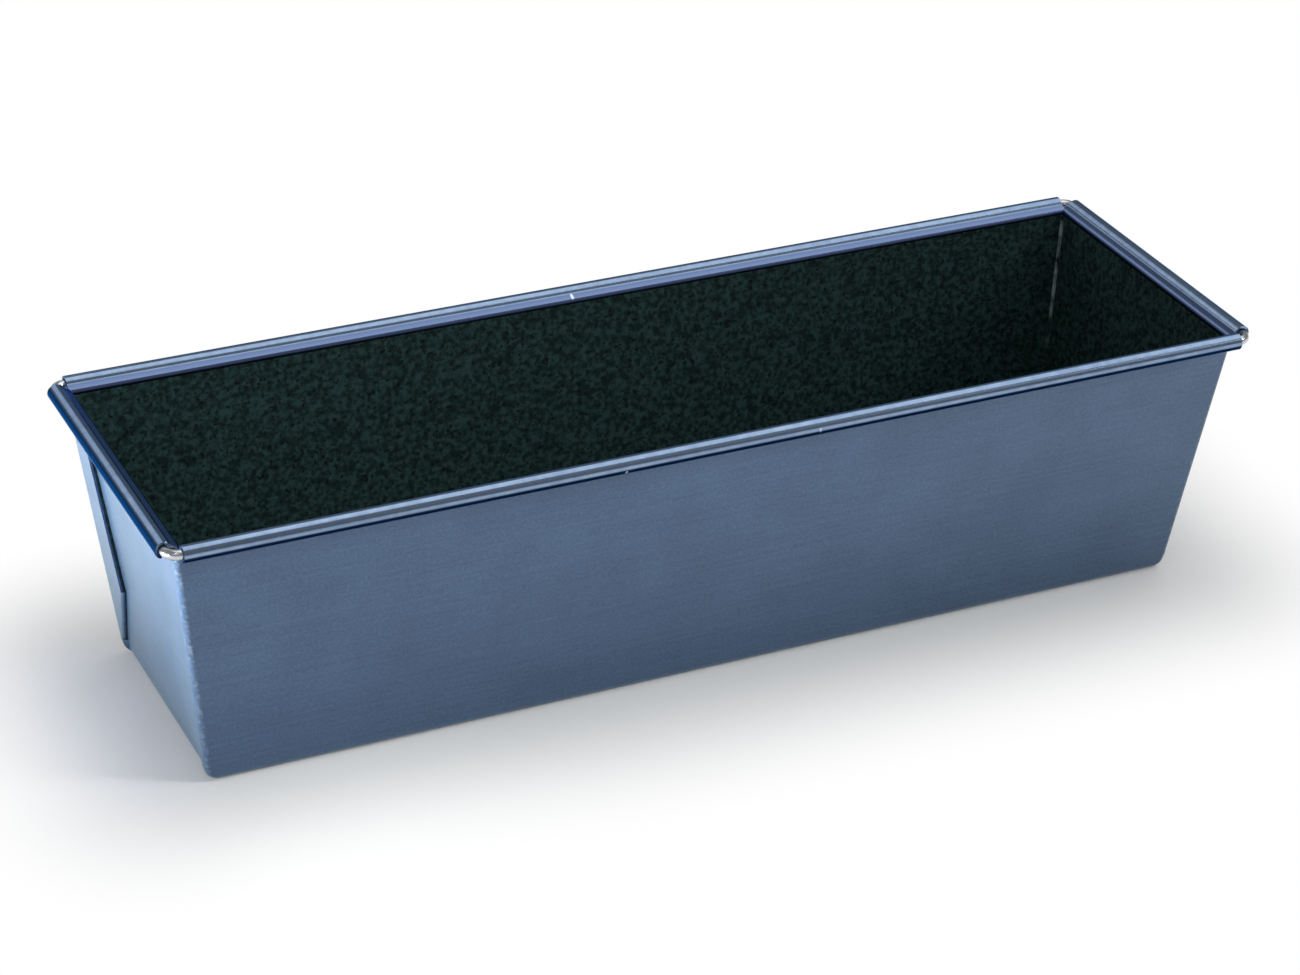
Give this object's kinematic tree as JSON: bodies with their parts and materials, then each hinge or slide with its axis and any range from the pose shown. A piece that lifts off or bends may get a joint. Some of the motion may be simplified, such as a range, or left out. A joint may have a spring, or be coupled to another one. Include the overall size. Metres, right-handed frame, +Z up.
{
  "type": "rusk bread pan",
  "caption": "Long narrow loaf tin folded from coated steel sheet, with flared walls, flat corner flaps on the ends and a rolled rim over bent wire, for baking rusk bread.",
  "frame": {"origin": "centre of the floor's underside, which rests on the surface", "axes": "+X along the pan, +Y across it away from the near long side, +Z up out of the mouth"},
  "size_m": [0.3, 0.097, 0.0755],
  "materials": {
    "coated_steel_sheet": "satin blue-grey enamel outside, dark speckled non-stick coating inside",
    "bright_steel_wire": "drawn bright wire"
  },
  "bodies": {
    "root": {"pan_sheet": "coated_steel_sheet", "rim_wire_left": "bright_steel_wire", "rim_wire_right": "bright_steel_wire"}
  },
  "joints": []
}
